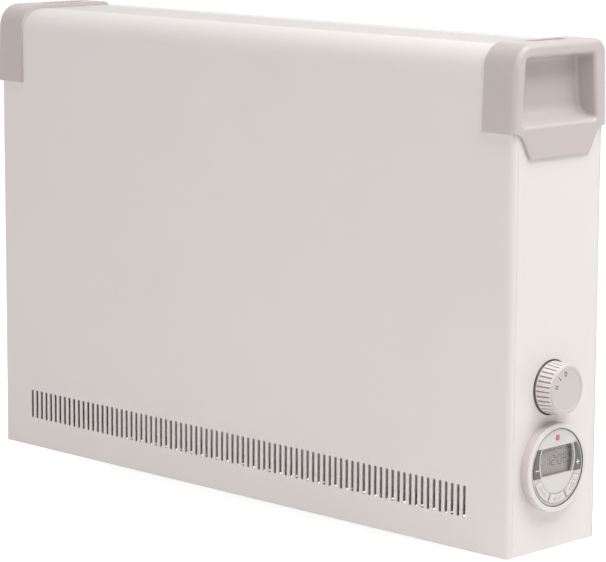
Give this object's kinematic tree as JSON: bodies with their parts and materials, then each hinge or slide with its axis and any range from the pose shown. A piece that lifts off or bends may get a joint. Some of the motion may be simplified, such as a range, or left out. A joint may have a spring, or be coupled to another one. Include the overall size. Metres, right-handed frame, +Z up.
{
  "type": "wall convector heater",
  "caption": "Wall convector heater: slotted sheet-steel casing with moulded end handles, a rotary heat selector and a round digital timer on one end panel.",
  "frame": {"origin": "on the wall plane, midway between the two wall screws", "axes": "+X along the wall towards the control end, +Y into the wall, +Z up"},
  "size_m": [0.7052, 0.1339, 0.4505],
  "materials": {
    "casing_paint": "satin powder coat",
    "handle_plastic": "fine moulded grain",
    "knob_plastic": "fine moulded grain",
    "shaft_steel": "turned",
    "switch_plastic": "moulded",
    "bezel_plastic": "satin",
    "ring_plastic": "moulded",
    "face_plastic": "satin",
    "key_plastic": "satin",
    "side_key_plastic": "satin",
    "lens_plastic": "clear",
    "display_glass": "polished",
    "board_laminate": "lacquered",
    "lamp_plastic": "clear tinted",
    "element_steel": "heat tinted",
    "zinc_steel": "zinc plated",
    "ceramic": "unglazed",
    "cutout_plastic": "moulded",
    "gland_plastic": "moulded",
    "buffer_rubber": "matt",
    "wire_cover": "matt"
  },
  "bodies": {
    "heater": {"front_casing": "casing_paint", "left_end_panel": "casing_paint", "right_end_panel": "casing_paint", "back_panel": "casing_paint", "base_plate": "casing_paint", "left_handle": "handle_plastic", "right_handle": "handle_plastic", "rotary_switch": "switch_plastic", "switch_nut": "zinc_steel", "switch_plate": "zinc_steel", "timer_bezel": "bezel_plastic", "timer_rear_cover": "switch_plastic", "timer_clamp_ring": "ring_plastic", "timer_face": "face_plastic", "display_lens": "lens_plastic", "display_glass": "display_glass", "display_holder": "ring_plastic", "timer_board": "board_laminate", "tact_switches": "switch_plastic", "indicator_lamp": "lamp_plastic", "lower_heating_element": "element_steel", "upper_heating_element": "element_steel", "left_element_support": "zinc_steel", "middle_element_support": "zinc_steel", "control_partition": "zinc_steel", "element_bushes": "ceramic", "heat_shield": "zinc_steel", "thermal_cutout": "cutout_plastic", "cable_gland": "gland_plastic", "gland_nut": "gland_plastic", "terminal_block": "gland_plastic", "wall_bracket": "zinc_steel", "wall_buffers": "buffer_rubber", "case_screws": "zinc_steel", "handle_screws": "zinc_steel", "wiring_loom": "wire_cover"},
    "selector": {"selector_knob": "knob_plastic", "selector_shaft": "shaft_steel"},
    "program_button": {"program_button": "key_plastic"},
    "enter_button": {"enter_button": "key_plastic"},
    "clock_button": {"clock_button": "key_plastic"},
    "minus_button": {"minus_button": "side_key_plastic"},
    "plus_button": {"plus_button": "side_key_plastic"}
  },
  "joints": [
    {"name": "selector_turn", "type": "hinge", "parent": "heater", "child": "selector", "pos_m": [0.342, -0.0743, -0.2054], "axis": [-1, 0, 0], "range_deg": [0, 60]},
    {"name": "program_press", "type": "slide", "parent": "heater", "child": "program_button", "axis": [-1, 0, 0], "range_m": [0, 0.0006], "stiffness_N_per_m": 800, "springref_m": -0.001},
    {"name": "enter_press", "type": "slide", "parent": "heater", "child": "enter_button", "axis": [-1, 0, 0], "range_m": [0, 0.0006], "stiffness_N_per_m": 800, "springref_m": -0.001},
    {"name": "clock_press", "type": "slide", "parent": "heater", "child": "clock_button", "axis": [-1, 0, 0], "range_m": [0, 0.0006], "stiffness_N_per_m": 800, "springref_m": -0.001},
    {"name": "minus_press", "type": "slide", "parent": "heater", "child": "minus_button", "axis": [-1, 0, 0], "range_m": [0, 0.0006], "stiffness_N_per_m": 800, "springref_m": -0.001},
    {"name": "plus_press", "type": "slide", "parent": "heater", "child": "plus_button", "axis": [-1, 0, 0], "range_m": [0, 0.0006], "stiffness_N_per_m": 800, "springref_m": -0.001}
  ]
}
